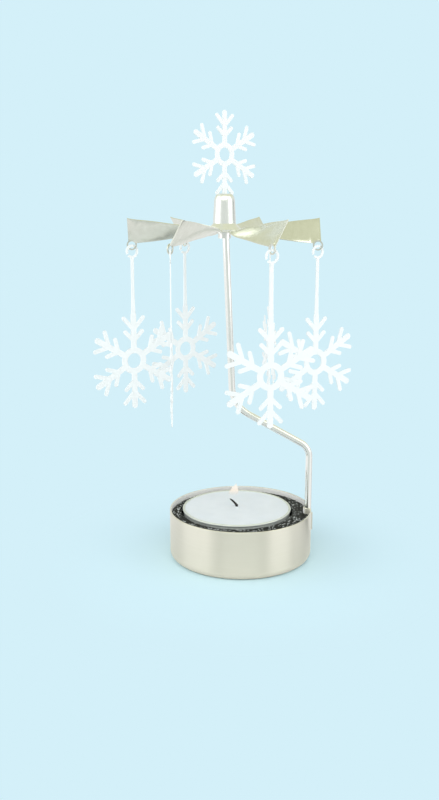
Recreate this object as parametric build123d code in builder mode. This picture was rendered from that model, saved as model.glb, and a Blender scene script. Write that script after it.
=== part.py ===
from build123d import *

import os
from math import atan2, cos, degrees, hypot, radians, sin

# Rotary tealight holder: a cup with a tealight, a bent stand wire and a six-blade rotor that turns
# on the wire's point in the rising warm air, with snowflakes hung from its blades.
# Millimetres, +Z up. The origin is the middle of the cup's underside, and +X points to the wire's foot.

os.makedirs("parts", exist_ok=True)

# Cup, drawn from steel sheet to hold the tealight and its liner
cup_height = 17.1
cup_wall = 0.5
cup_corner_radius = 2.4
cup_rim_round = 0.2

# Wire socket lanced out of the cup wall: one band pressed inward, the band below it pressed outward
socket_inset = 1.1
inner_band_height = 1.9
outer_band_height = 6.0
socket_clearance = 0.05

# Black grained liner ring round the tealight
liner_width = 4.72
liner_drop = 1.5
liner_clearance = 0.08
liner_edge_round = 0.3
liner_tealight_gap = 0.35
liner_socket_gap = 0.15

# Tealight
tealight_diameter = 38.0
tealight_height = 16.1
tealight_shell = 0.3
tealight_corner_radius = 1.2
tealight_bead_height = 0.7
tealight_bead_reach = 0.35
tealight_bead_round = 0.28
tealight_shift_x = -1.3
tealight_shift_y = 2.6
wax_drop = 0.35
wax_clearance = 0.04
wax_edge_round = 0.4
wick_diameter = 1.1
wick_stand = 0.9
wick_lean_reach = 2.5
wick_lean_rise = 2.2
wick_bend_radius = 0.8
wick_clearance = 0.04
tab_diameter = 13.0
tab_thickness = 0.3
tab_neck_diameter = 2.6
tab_neck_height = 2.5

# Stand wire, a single bent wire with a ground point
wire_diameter = 2.3
wire_low_corner_z = 39.2
wire_high_corner_x = -2.9
wire_high_corner_z = 54.2
wire_low_bend_radius = 5.6
wire_high_bend_radius = 11.5
wire_foot_chamfer = 0.3
point_length = 3.6
point_flat_diameter = 0.24

# Rotor, one sheet pressing of twisted blades, each with an upright hanging lug at its low outer corner
rotor_axis_x = -5.8
rotor_z = 113.5
rotor_sheet = 0.35
blade_count = 6
disc_past_root = 0.3
root_past_brim = 0.1
blade_neck_radius = 7.6
blade_tip_radius = 32.0
blade_root_width = 4.4
blade_tip_width = 10.0
blade_neck_pitch = 26.0
blade_tip_pitch = 59.0
blade_twist_shape = 0.5
blade_sections = 5
blade_turn = 2.2
lug_radius = 1.7
lug_drop = 0.4
lug_root = 0.15
lug_past_tip = 0.6
hang_hole_diameter = 2.4

# Hub: cap, pivot seat inside it and guide eyelet crimped into the pressing
cap_height = 12.0
cap_wall = 0.4
cap_top_radius = 1.95
cap_shoulder_radius = 3.45
cap_shoulder_drop = 2.8
cap_skirt_radius = 3.8
cap_skirt_rise = 2.4
cap_brim_radius = 5.7
seat_thickness = 1.4
seat_clearance = 0.02
seat_dimple_radius = 0.95
seat_dimple_depth = 0.9
point_clearance = 0.08
eyelet_bore_radius = 1.75
eyelet_wall = 0.4
eyelet_flange_radius = 2.9
eyelet_flange_thickness = 0.4
eyelet_drop = 2.1
eyelet_clearance = 0.04

# Snowflake stampings, white enamelled sheet
flake_radius = 16.7
flake_arms = 6
flake_sheet = 0.4
flake_arm_width = 2.0
flake_ring_radius = 4.6
flake_hole_radius = 2.6
flake_barb_width = 1.4
short_barb_root = 6.9
short_barb_out = 3.2
short_barb_rise = 3.1
long_barb_root = 10.8
long_barb_out = 3.7
long_barb_rise = 3.9
stem_width = 1.1
stem_foot_width = 1.6
stem_foot_height = 24.0
hang_length = 37.1
hook_mid_radius = 1.9
hook_strip = 0.8
hook_gap = 0.7
hook_gap_angle = 215.0
hook_sit = 0.2

# Which way each hanging snowflake faces, in degrees from +X, named by its place at rest
pendant_headings = {
    "right": 30.0,
    "back_right": 96.0,
    "back_left": 40.0,
    "left": 33.0,
    "front_left": 92.0,
    "front_right": 20.0,
}

# Top snowflake, the same design made smaller, standing in a slot in the cap
top_flake_scale = 0.83
top_flake_heading = 36.0
top_flake_sink = 1.4
slot_clearance = 0.06

# Sizes that follow from the ones above
tealight_radius = tealight_diameter / 2
tealight_inner_radius = tealight_radius - tealight_shell
liner_inner_radius = tealight_radius + tealight_bead_reach + liner_tealight_gap
liner_outer_radius = liner_inner_radius + liner_width
cup_inner_radius = liner_outer_radius + liner_clearance
cup_radius = cup_inner_radius + cup_wall
cup_diameter = 2 * cup_radius
socket_reach = cup_radius - socket_inset
wall_middle_radius = cup_radius - cup_wall / 2
wire_radius = wire_diameter / 2
socket_bore_radius = wire_radius + socket_clearance
band_outer_radius = socket_bore_radius + cup_wall
liner_notch_radius = band_outer_radius + liner_socket_gap
inner_band_z = cup_height - inner_band_height
socket_floor_z = inner_band_z - outer_band_height
liner_top_z = cup_height - liner_drop
tealight_floor_z = cup_wall + tealight_shell
tealight_top_z = cup_wall + tealight_height
wax_top_z = tealight_top_z - wax_drop
wick_radius = wick_diameter / 2
rotor_top_z = rotor_z + rotor_sheet / 2
rotor_bottom_z = rotor_z - rotor_sheet / 2
cap_top_z = rotor_top_z + cap_height
shoulder_z = cap_top_z - cap_shoulder_drop
seat_top_z = shoulder_z - cap_wall / 2
seat_bottom_z = seat_top_z - seat_thickness
point_tip_z = seat_bottom_z + seat_dimple_depth - point_clearance
eyelet_outer_radius = eyelet_bore_radius + eyelet_wall
rotor_bore_radius = eyelet_outer_radius + eyelet_clearance
blade_root_radius = cap_brim_radius + root_past_brim
hub_disc_radius = blade_root_radius + disc_past_root

tealight_centre = (tealight_shift_x, tealight_shift_y)
rotor_axis = Axis((rotor_axis_x, 0, 0), (0, 0, 1))
rotor_profile_plane = Plane((rotor_axis_x, 0, 0), x_dir=(1, 0, 0), z_dir=(0, -1, 0))


def bar(start, end, width):
    """Draw a round-ended bar from start to end in the current sketch."""
    run = (end[0] - start[0], end[1] - start[1])
    with Locations(((start[0] + end[0]) / 2, (start[1] + end[1]) / 2)):
        SlotCenterToCenter(hypot(*run), width, rotation=degrees(atan2(run[1], run[0])))


def turned(point, angle):
    """Return a sketch point turned about the sketch's origin."""
    return (
        point[0] * cos(radians(angle)) - point[1] * sin(radians(angle)),
        point[0] * sin(radians(angle)) + point[1] * cos(radians(angle)),
    )


def draw_snowflake(scale):
    """Draw a six-armed snowflake round the sketch's origin, one arm straight up."""
    Circle(flake_ring_radius * scale)
    arm_end = (flake_radius - flake_arm_width / 2) * scale
    barbs = (
        (short_barb_root, short_barb_out, short_barb_rise),
        (long_barb_root, long_barb_out, long_barb_rise),
    )
    for arm in range(flake_arms):
        angle = arm * 360 / flake_arms
        bar(turned((0, flake_hole_radius * scale), angle), turned((0, arm_end), angle), flake_arm_width * scale)
        for root, out, rise in barbs:
            for side in (-1, 1):
                foot = turned((0, root * scale), angle)
                tip = turned((side * out * scale, (root + rise) * scale), angle)
                bar(foot, tip, flake_barb_width * scale)
    Circle(flake_hole_radius * scale, mode=Mode.SUBTRACT)


def upright_plane(origin, heading):
    """Return the vertical plane of a snowflake through origin, its sketch x along the heading."""
    along = (cos(radians(heading)), sin(radians(heading)), 0)
    across = (sin(radians(heading)), -cos(radians(heading)), 0)
    return Plane(origin, x_dir=along, z_dir=across)


def blade_share(radius):
    """Return how far along the blade a radius lies, 0 at the neck and 1 at the tip."""
    return max(0.0, (radius - blade_neck_radius) / (blade_tip_radius - blade_neck_radius))


def blade_width(radius):
    """Return the blade's width at a radius."""
    return blade_root_width + (blade_tip_width - blade_root_width) * blade_share(radius)


def blade_pitch(radius):
    """Return the blade's pitch in degrees at a radius."""
    twist = blade_share(radius) ** blade_twist_shape
    return blade_neck_pitch + (blade_tip_pitch - blade_neck_pitch) * twist


def blade_plane(azimuth, radius, pitch):
    """Return the plane across a blade, its sketch x along the chord towards the low edge."""
    outward = Vector(cos(radians(azimuth)), sin(radians(azimuth)), 0)
    sideways = Vector(-outward.Y, outward.X, 0)
    chord = sideways * -cos(radians(pitch)) - Vector(0, 0, 1) * sin(radians(pitch))
    middle = Vector(rotor_axis_x, 0, rotor_z) + outward * radius
    return Plane(middle, x_dir=chord, z_dir=outward)


def blade_azimuth(number):
    """Return a blade's azimuth in degrees."""
    return blade_turn + number * 360 / blade_count


hang_radius = blade_tip_radius + lug_past_tip - lug_radius


def low_edge_point(number, radius):
    """Return the point in the middle of the sheet on a blade's low edge at a radius."""
    section = blade_plane(blade_azimuth(number), radius, blade_pitch(radius))
    return section.from_local_coords((blade_width(radius) / 2, 0, 0))


def lug_plane(number):
    """Return the upright plane of a blade's lug, its origin in the hole and its sketch x outward."""
    outward = Vector(cos(radians(blade_azimuth(number))), sin(radians(blade_azimuth(number))), 0)
    hole_middle = low_edge_point(number, hang_radius) - Vector(0, 0, lug_drop)
    return Plane(hole_middle, x_dir=outward, z_dir=(outward.Y, -outward.X, 0))


# Cup: a drawn shell with a rounded corner, and the wire socket in its wall
with BuildPart() as cup:
    Cylinder(cup_radius, cup_height, align=(Align.CENTER, Align.CENTER, Align.MIN))
    fillet(cup.edges().group_by(Axis.Z)[0], radius=cup_corner_radius)
    offset(amount=-cup_wall, openings=cup.faces().sort_by(Axis.Z)[-1])
    fillet(cup.edges().group_by(Axis.Z)[-1], radius=cup_rim_round)
    with BuildSketch(Plane.XY.offset(inner_band_z)) as inner_window:
        with Locations((socket_reach, 0)):
            Rectangle(
                cup_radius,
                2 * socket_bore_radius,
                align=(Align.MIN, Align.CENTER),
            )
    extrude(amount=inner_band_height, mode=Mode.SUBTRACT)
    with BuildSketch(Plane.XY.offset(inner_band_z)) as inner_band:
        with Locations((socket_reach, 0)):
            Circle(band_outer_radius)
            Rectangle(
                wall_middle_radius - socket_reach,
                2 * band_outer_radius,
                align=(Align.MIN, Align.CENTER),
            )
        with Locations((wall_middle_radius, 0)):
            Rectangle(
                cup_radius,
                cup_diameter,
                align=(Align.MIN, Align.CENTER),
                mode=Mode.SUBTRACT,
            )
    extrude(amount=inner_band_height)
    with BuildSketch(Plane.XY.offset(socket_floor_z)) as outer_band:
        with Locations((socket_reach, 0)):
            Circle(band_outer_radius)
        with Locations((wall_middle_radius, 0)):
            Rectangle(
                cup_radius,
                cup_diameter,
                align=(Align.MAX, Align.CENTER),
                mode=Mode.SUBTRACT,
            )
    extrude(amount=outer_band_height)
    with BuildSketch(Plane.XY.offset(socket_floor_z)) as socket_bore:
        with Locations((socket_reach, 0)):
            Circle(socket_bore_radius)
    extrude(amount=cup_height, mode=Mode.SUBTRACT)
cup.part.label = "cup"
export_step(cup.part, "parts/cup.step")

# Liner: a black ring that fills the cup round the tealight, notched for the wire's socket
with BuildPart() as cup_liner:
    with BuildSketch(Plane.XY.offset(cup_wall)) as liner_outline:
        Circle(liner_outer_radius)
    extrude(amount=liner_top_z - cup_wall)
    fillet(cup_liner.edges().group_by(Axis.Z)[0], radius=cup_corner_radius)
    fillet(cup_liner.edges().group_by(Axis.Z)[-1], radius=liner_edge_round)
    with BuildSketch(Plane.XY.offset(cup_wall)) as liner_recess:
        with Locations(tealight_centre):
            Circle(liner_inner_radius)
    extrude(amount=liner_top_z, mode=Mode.SUBTRACT)
    with BuildSketch(Plane.XY.offset(socket_floor_z - liner_socket_gap)) as liner_notch:
        with Locations((socket_reach, 0)):
            Circle(liner_notch_radius)
            Rectangle(
                cup_radius,
                2 * liner_notch_radius,
                align=(Align.MIN, Align.CENTER),
            )
    extrude(amount=cup_height, mode=Mode.SUBTRACT)
cup_liner.part.label = "cup_liner"
export_step(cup_liner.part, "parts/cup_liner.step")

# Tealight shell: thin aluminium with a rolled bead at the top
with BuildPart() as tealight_shell_part:
    with BuildSketch(Plane.XY.offset(cup_wall)) as shell_outline:
        with Locations(tealight_centre):
            Circle(tealight_radius)
    extrude(amount=tealight_height)
    fillet(tealight_shell_part.edges().group_by(Axis.Z)[0], radius=tealight_corner_radius)
    offset(amount=-tealight_shell, openings=tealight_shell_part.faces().sort_by(Axis.Z)[-1])
    with BuildSketch(Plane.XY.offset(tealight_top_z)) as bead_outline:
        with Locations(tealight_centre):
            Circle(tealight_radius + tealight_bead_reach)
            Circle(tealight_inner_radius, mode=Mode.SUBTRACT)
    extrude(amount=-tealight_bead_height)
    bead_edges = tealight_shell_part.edges().filter_by(
        lambda edge: edge.geom_type == GeomType.CIRCLE and edge.radius > tealight_radius + tealight_bead_reach / 2
    )
    fillet(bead_edges, radius=tealight_bead_round)
tealight_shell_part.part.label = "tealight_cup"
export_step(tealight_shell_part.part, "parts/tealight_cup.step")

# Wick tab: a thin disc with a short neck that holds the wick upright in the wax
with BuildPart() as wick_tab:
    with BuildSketch(Plane.XY.offset(tealight_floor_z)) as tab_disc:
        with Locations(tealight_centre):
            Circle(tab_diameter / 2)
    extrude(amount=tab_thickness)
    with BuildSketch(Plane.XY.offset(tealight_floor_z + tab_thickness)) as tab_neck:
        with Locations(tealight_centre):
            Circle(tab_neck_diameter / 2)
    extrude(amount=tab_neck_height)
    with BuildSketch(Plane.XY.offset(tealight_floor_z + tab_thickness)) as tab_bore:
        with Locations(tealight_centre):
            Circle(wick_radius + wick_clearance)
    extrude(amount=tab_neck_height, mode=Mode.SUBTRACT)
wick_tab.part.label = "wick_tab"
export_step(wick_tab.part, "parts/wick_tab.step")

# Wick: upright through the wax, then leaning over to the left as a burnt wick does
wick_foot = (tealight_shift_x, tealight_shift_y, tealight_floor_z + tab_thickness)
wick_knee = (tealight_shift_x, tealight_shift_y, wax_top_z + wick_stand)
wick_end = (
    tealight_shift_x - wick_lean_reach,
    tealight_shift_y,
    wax_top_z + wick_stand + wick_lean_rise,
)
with BuildPart() as wick:
    with BuildLine() as wick_path:
        FilletPolyline(wick_foot, wick_knee, wick_end, radius=wick_bend_radius)
    with BuildSketch(Plane(wick_foot, z_dir=(0, 0, 1))) as wick_section:
        Circle(wick_radius)
    sweep()
wick.part.label = "wick"
export_step(wick.part, "parts/wick.step")

# Wax: a filled disc with room for the tab and the wick
with BuildPart() as wax:
    with BuildSketch(Plane.XY.offset(tealight_floor_z)) as wax_outline:
        with Locations(tealight_centre):
            Circle(tealight_inner_radius - wax_clearance)
    extrude(amount=wax_top_z - tealight_floor_z)
    fillet(wax.edges().group_by(Axis.Z)[0], radius=tealight_corner_radius)
    fillet(wax.edges().group_by(Axis.Z)[-1], radius=wax_edge_round)
    with BuildSketch(Plane.XY.offset(tealight_floor_z)) as wax_tab_room:
        with Locations(tealight_centre):
            Circle(tab_diameter / 2 + wick_clearance)
    extrude(amount=tab_thickness + wick_clearance, mode=Mode.SUBTRACT)
    with BuildSketch(Plane.XY.offset(tealight_floor_z)) as wax_neck_room:
        with Locations(tealight_centre):
            Circle(tab_neck_diameter / 2 + wick_clearance)
    extrude(amount=tab_thickness + tab_neck_height + wick_clearance, mode=Mode.SUBTRACT)
    with BuildSketch(Plane.XY.offset(tealight_floor_z)) as wax_wick_room:
        with Locations(tealight_centre):
            Circle(wick_radius + wick_clearance)
    extrude(amount=tealight_height, mode=Mode.SUBTRACT)
wax.part.label = "tealight_wax"
export_step(wax.part, "parts/tealight_wax.step")

# Stand wire: foot in the socket, a slanting run over the cup, then the stem with its point under the hub
wire_foot = Vector(socket_reach, 0, socket_floor_z + socket_clearance)
wire_low_corner = Vector(socket_reach, 0, wire_low_corner_z)
wire_high_corner = Vector(wire_high_corner_x, 0, wire_high_corner_z)
wire_tip = Vector(rotor_axis_x, 0, point_tip_z)
stem_direction = (wire_tip - wire_high_corner).normalized()
stem_end = wire_tip - stem_direction * point_length
point_taper = degrees(atan2(wire_radius - point_flat_diameter / 2, point_length))
with BuildPart() as stand_wire:
    with BuildLine() as wire_path:
        FilletPolyline(
            wire_foot,
            wire_low_corner,
            wire_high_corner,
            stem_end,
            radius=(wire_low_bend_radius, wire_high_bend_radius),
        )
    with BuildSketch(Plane(wire_foot, z_dir=(0, 0, 1))) as wire_section:
        Circle(wire_radius)
    sweep()
    chamfer(stand_wire.edges().group_by(Axis.Z)[0], length=wire_foot_chamfer)
    with BuildSketch(Plane(stem_end, z_dir=stem_direction)) as point_section:
        Circle(wire_radius)
    extrude(amount=point_length, taper=point_taper)
stand_wire.part.label = "stand_wire"
export_step(stand_wire.part, "parts/stand_wire.step")

# Rotor: hub disc, twisted blades and their lugs in one pressing
section_radii = [
    blade_neck_radius + (blade_tip_radius - blade_neck_radius) * step / (blade_sections - 1)
    for step in range(blade_sections)
]
with BuildPart() as rotor:
    with BuildSketch(Plane((rotor_axis_x, 0, rotor_bottom_z))) as hub_disc:
        Circle(hub_disc_radius)
        Circle(rotor_bore_radius, mode=Mode.SUBTRACT)
    extrude(amount=rotor_sheet)
    for number in range(blade_count):
        azimuth = blade_azimuth(number)
        with BuildSketch(blade_plane(azimuth, blade_root_radius, 0)) as root_section:
            Rectangle(blade_root_width, rotor_sheet)
        for radius in section_radii:
            with BuildSketch(blade_plane(azimuth, radius, blade_pitch(radius))) as blade_section:
                Rectangle(blade_width(radius), rotor_sheet)
        loft()
        hole_middle = lug_plane(number).origin
        inner_root = low_edge_point(number, hang_radius - lug_radius) - hole_middle
        tip_root = low_edge_point(number, blade_tip_radius) - hole_middle
        with BuildSketch(lug_plane(number)) as lug_outline:
            Circle(lug_radius)
            with BuildLine() as lug_shank:
                Polyline(
                    (-lug_radius, 0),
                    (lug_radius, 0),
                    (blade_tip_radius - hang_radius, tip_root.Z + lug_root),
                    (-lug_radius, inner_root.Z + lug_root),
                    close=True,
                )
            make_face()
        extrude(amount=rotor_sheet / 2, both=True)
        with BuildSketch(lug_plane(number)) as hang_hole:
            Circle(hang_hole_diameter / 2)
        extrude(amount=hang_hole_diameter / 2, both=True, mode=Mode.SUBTRACT)
rotor.part.label = "rotor"
export_step(rotor.part, "parts/rotor.step")

# Hub cap: a thimble with a rounded shoulder and a flared brim, slotted on top for the snowflake
with BuildPart() as hub_cap:
    with BuildSketch(rotor_profile_plane) as cap_profile:
        with BuildLine() as cap_outline:
            Line((0, cap_top_z), (cap_top_radius, cap_top_z))
            EllipticalCenterArc(
                (cap_top_radius, shoulder_z),
                cap_shoulder_radius - cap_top_radius,
                cap_shoulder_drop,
                arc_size=90,
            )
            Polyline(
                (cap_shoulder_radius, shoulder_z),
                (cap_skirt_radius, rotor_top_z + cap_skirt_rise),
                (cap_brim_radius, rotor_top_z + cap_wall),
                (cap_brim_radius, rotor_top_z),
                (cap_skirt_radius - cap_wall, rotor_top_z),
                (cap_skirt_radius - cap_wall, rotor_top_z + cap_skirt_rise),
                (cap_shoulder_radius - cap_wall, shoulder_z - cap_wall / 2),
                (cap_top_radius - cap_wall / 2, cap_top_z - cap_wall),
                (0, cap_top_z - cap_wall),
                (0, cap_top_z),
            )
        make_face()
    revolve(axis=rotor_axis)
    with BuildSketch(Plane((rotor_axis_x, 0, cap_top_z))) as cap_slot:
        Rectangle(
            flake_arm_width * top_flake_scale + 2 * slot_clearance,
            flake_sheet + 2 * slot_clearance,
            rotation=top_flake_heading,
        )
    extrude(amount=-2 * cap_wall, mode=Mode.SUBTRACT)
hub_cap.part.label = "hub_cap"
export_step(hub_cap.part, "parts/hub_cap.step")

# Pivot seat: a hard disc pressed up under the cap's shoulder, dimpled for the wire's point
seat_radius = cap_shoulder_radius - cap_wall - seat_clearance
with BuildPart() as pivot_seat:
    with BuildSketch(rotor_profile_plane) as seat_profile:
        with BuildLine() as seat_outline:
            Polyline(
                (0, seat_bottom_z + seat_dimple_depth),
                (seat_dimple_radius, seat_bottom_z),
                (seat_radius, seat_bottom_z),
                (seat_radius, seat_top_z),
                (0, seat_top_z),
                close=True,
            )
        make_face()
    revolve(axis=rotor_axis)
pivot_seat.part.label = "pivot_seat"
export_step(pivot_seat.part, "parts/pivot_seat.step")

# Guide eyelet: a short tube through the hub disc, flanged on both faces, loose round the stem
with BuildPart() as hub_eyelet:
    with BuildSketch(rotor_profile_plane) as eyelet_profile:
        with BuildLine() as eyelet_outline:
            Polyline(
                (eyelet_bore_radius, rotor_bottom_z - eyelet_drop),
                (eyelet_outer_radius, rotor_bottom_z - eyelet_drop),
                (eyelet_outer_radius, rotor_bottom_z - eyelet_flange_thickness),
                (eyelet_flange_radius, rotor_bottom_z - eyelet_flange_thickness),
                (eyelet_flange_radius, rotor_bottom_z),
                (eyelet_outer_radius, rotor_bottom_z),
                (eyelet_outer_radius, rotor_top_z),
                (eyelet_flange_radius, rotor_top_z),
                (eyelet_flange_radius, rotor_top_z + eyelet_flange_thickness),
                (eyelet_bore_radius, rotor_top_z + eyelet_flange_thickness),
                close=True,
            )
        make_face()
    revolve(axis=rotor_axis)
hub_eyelet.part.label = "hub_eyelet"
export_step(hub_eyelet.part, "parts/hub_eyelet.step")

# Top snowflake: its lowest arm stands in the cap's slot
top_flake_centre = (rotor_axis_x, 0, cap_top_z - top_flake_sink + flake_radius * top_flake_scale)
with BuildPart() as top_snowflake:
    with BuildSketch(upright_plane(top_flake_centre, top_flake_heading)) as top_outline:
        draw_snowflake(top_flake_scale)
    extrude(amount=flake_sheet / 2, both=True)
top_snowflake.part.label = "top_snowflake"
export_step(top_snowflake.part, "parts/top_snowflake.step")

# Hanging snowflakes: flake, stem and open hook stamped in one piece, the hook through a blade's lug
for number, (place, heading) in enumerate(pendant_headings.items()):
    hook_seat = lug_plane(number).origin - Vector(0, 0, hook_sit)
    pendant_centre = hook_seat - Vector(0, 0, hook_mid_radius + hang_length)
    with BuildPart() as pendant:
        with BuildSketch(upright_plane(pendant_centre, heading)) as pendant_outline:
            draw_snowflake(1)
            with Locations((0, hang_length)):
                Circle(hook_mid_radius + hook_strip / 2)
            with BuildLine() as stem_outline:
                Polyline(
                    (-stem_foot_width / 2, flake_radius - flake_arm_width),
                    (stem_foot_width / 2, flake_radius - flake_arm_width),
                    (stem_width / 2, stem_foot_height),
                    (stem_width / 2, hang_length - hook_mid_radius),
                    (-stem_width / 2, hang_length - hook_mid_radius),
                    (-stem_width / 2, stem_foot_height),
                    close=True,
                )
            make_face()
            with Locations((0, hang_length)):
                Circle(hook_mid_radius - hook_strip / 2, mode=Mode.SUBTRACT)
                Rectangle(
                    hook_mid_radius + hook_strip,
                    hook_gap,
                    rotation=hook_gap_angle,
                    align=(Align.MIN, Align.CENTER),
                    mode=Mode.SUBTRACT,
                )
        extrude(amount=flake_sheet / 2, both=True)
    pendant.part.label = "pendant_" + place
    export_step(pendant.part, "parts/pendant_" + place + ".step")
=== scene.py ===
"""Looks of a rotary tealight holder: its finishes, wax, wick, grit and flame, and the studio around it."""

import logging
import math
from dataclasses import dataclass, replace
from enum import Enum
from typing import Callable, Sequence

import bmesh
import bpy
from bmesh.types import BMVert
from bpy.types import Material, Node, NodeSocket, NodeTree, Object
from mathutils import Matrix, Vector


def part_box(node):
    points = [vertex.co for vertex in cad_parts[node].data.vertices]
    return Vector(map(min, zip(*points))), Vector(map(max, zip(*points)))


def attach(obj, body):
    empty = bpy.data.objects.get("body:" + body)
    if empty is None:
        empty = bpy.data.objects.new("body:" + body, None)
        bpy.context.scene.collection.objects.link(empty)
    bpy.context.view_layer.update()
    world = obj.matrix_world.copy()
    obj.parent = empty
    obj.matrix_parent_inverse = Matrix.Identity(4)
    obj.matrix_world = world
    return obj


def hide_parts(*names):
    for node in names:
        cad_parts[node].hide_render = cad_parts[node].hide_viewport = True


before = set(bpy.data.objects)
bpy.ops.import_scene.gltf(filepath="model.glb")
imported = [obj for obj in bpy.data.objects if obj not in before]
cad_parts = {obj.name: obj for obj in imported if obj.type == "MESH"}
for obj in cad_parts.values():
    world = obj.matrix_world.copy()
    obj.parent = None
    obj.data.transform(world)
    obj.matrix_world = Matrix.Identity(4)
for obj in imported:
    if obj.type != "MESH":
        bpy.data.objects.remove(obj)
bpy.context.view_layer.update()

MM = 0.001
log = logging.getLogger("tealight_holder")

Ring = tuple[float, float]
Colour = tuple[float, float, float, float]
Inputs = dict[str | int, object]

# Octaves of noise: a smooth swell, a soft blotch and a fine mottle
SWELL, BLOTCH, MOTTLE = 1.0, 2.0, 3.0
# Turns the stretch of reflections from along the polish lines to across them
QUARTER_TURN = 0.25
# Broken edges: points closer than this are one, edges sharper than this are broken, in this many steps
EDGE_WELD_MM = 0.0005
EDGE_DEGREES = 40.0
EDGE_STEPS = 2
# Crinkles: octaves of their noise, and the noise level that stays put, so that they only go inwards
CRINKLE_OCTAVES = 2
CRINKLE_LEVEL = 1.0


class Body(str, Enum):
    """The bodies that new pieces move with."""

    BASE = "base"
    TEALIGHT = "tealight"


class Slot(str, Enum):
    """The material slots that new pieces take their finish from."""

    LINER = "liner_black"
    FOIL = "tealight_aluminium"
    WAX = "candle_wax"
    WICK = "wick_cotton"


class Smoothing(Enum):
    """Angle in degrees below which a kind of piece is shaded smooth."""

    TURNED = 45.0
    GRIT = 60.0
    WICK = 70.0
    FLAME = 80.0


def linear(hex_colour: str) -> Colour:
    """Turn an sRGB hex colour into linear light.

    Args:
        hex_colour: Six hex digits, red first.

    Returns:
        Linear red, green and blue, with an alpha of one.
    """
    channels = [int(hex_colour[start:start + 2], 16) / 255 for start in (0, 2, 4)]
    red, green, blue = (c / 12.92 if c <= 0.04045 else ((c + 0.055) / 1.055) ** 2.4 for c in channels)
    return red, green, blue, 1.0


def per_metre(size_mm: float) -> float:
    """Give the texture scale at which one feature is size_mm across."""
    return 1 / (size_mm * MM)


def fill(node: Node, inputs: Inputs) -> None:
    """Fill a node's input sockets.

    Args:
        node: The node.
        inputs: By input socket, a constant, an output socket, or a node that gives its first output.
    """
    for socket, given in inputs.items():
        source = given.outputs[0] if isinstance(given, Node) else given
        if isinstance(source, NodeSocket):
            node.id_data.links.new(source, node.inputs[socket])
        else:
            node.inputs[socket].default_value = source


def add_node(tree: NodeTree, kind: str, inputs: Inputs | None = None, **settings: object) -> Node:
    """Add a shader node.

    Args:
        tree: The node tree that takes the node.
        kind: The node's type, without the prefix that all shader nodes share.
        inputs: What its input sockets take.
        settings: Properties of the node itself.

    Returns:
        The new node.
    """
    node = tree.nodes.new("ShaderNode" + kind)
    for name, setting in settings.items():
        setattr(node, name, setting)
    fill(node, inputs or {})
    return node


def new_surface(name: str, constants: Inputs) -> tuple[Material, NodeTree, Node, NodeSocket]:
    """Start a material on the principled shader.

    Args:
        name: The material and process that it is named for.
        constants: What the shader's sockets hold where nothing varies them.

    Returns:
        The material, its node tree, its shader and the object's coordinates.
    """
    material = bpy.data.materials.new(name)
    material.use_nodes = True
    tree = material.node_tree
    surface = tree.nodes["Principled BSDF"]
    fill(surface, constants)
    return material, tree, surface, add_node(tree, "TexCoord").outputs["Object"]


@dataclass(frozen=True)
class MottledFinish:
    """A finish whose colour and gloss wander together.

    Attributes:
        name: The material and how its surface was made.
        light_hex: Colour at the low end of the noise.
        deep_hex: Colour at its high end.
        roughness: Mean roughness.
        spread: How far the roughness goes either side of its mean.
    """

    name: str
    light_hex: str
    deep_hex: str
    roughness: float
    spread: float

    def mottle(self, surface: Node, place: NodeSocket, scale: float, octaves: float) -> None:
        """Vary a surface's colour and gloss by one noise.

        Args:
            surface: The shader.
            place: The coordinates that the noise reads.
            scale: The noise's scale.
            octaves: Its octaves.
        """
        tree = surface.id_data
        noise = add_node(tree, "TexNoise", {"Vector": place, "Scale": scale, "Detail": octaves})
        light, deep = linear(self.light_hex), linear(self.deep_hex)
        tone = add_node(tree, "MixRGB", {"Fac": noise, "Color1": light, "Color2": deep})
        least, most = self.roughness - self.spread, self.roughness + self.spread
        gloss = add_node(tree, "MapRange", {"Value": noise, "To Min": least, "To Max": most})
        fill(surface, {"Base Color": tone, "Roughness": gloss})


@dataclass(frozen=True)
class MetalFinish(MottledFinish):
    """A plated or bare metal: polish lines that vary its gloss, and a slow waviness that bends reflections.

    Attributes:
        line_mm: Size of polish lines along X, Y and Z. Real ones are too fine to show, so these are coarser.
        wave_mm: Distance over which the surface undulates.
        wave_depth_mm: Depth of that undulation.
        sheen_across: How far polish lines round the upright axis stretch reflections up and down.
    """

    line_mm: tuple[float, float, float]
    wave_mm: float
    wave_depth_mm: float
    sheen_across: float = 0.0

    def material(self) -> Material:
        """Build the material.

        Returns:
            The material.
        """
        material, tree, surface, place = new_surface(self.name, {"Metallic": 1.0})
        if self.sheen_across:
            around = add_node(tree, "Tangent", direction_type="RADIAL", axis="Z")
            stretched = {"Anisotropic": self.sheen_across, "Anisotropic Rotation": QUARTER_TURN}
            fill(surface, {**stretched, "Tangent": around})
        scales = [per_metre(size) for size in self.line_mm]
        lines = add_node(tree, "Mapping", {"Vector": place, "Scale": scales})
        self.mottle(surface, lines.outputs["Vector"], 1.0, MOTTLE)
        waves = add_node(
            tree, "TexNoise", {"Vector": place, "Scale": per_metre(self.wave_mm), "Detail": SWELL}
        )
        depth = self.wave_depth_mm * MM
        relief = add_node(tree, "Bump", {"Height": waves, "Strength": 1.0, "Distance": depth})
        fill(surface, {"Normal": relief})
        return material


class Facing(Enum):
    """Which way a face looks from an upright axis."""

    OUTWARDS = 1.0
    INWARDS = -1.0


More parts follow.
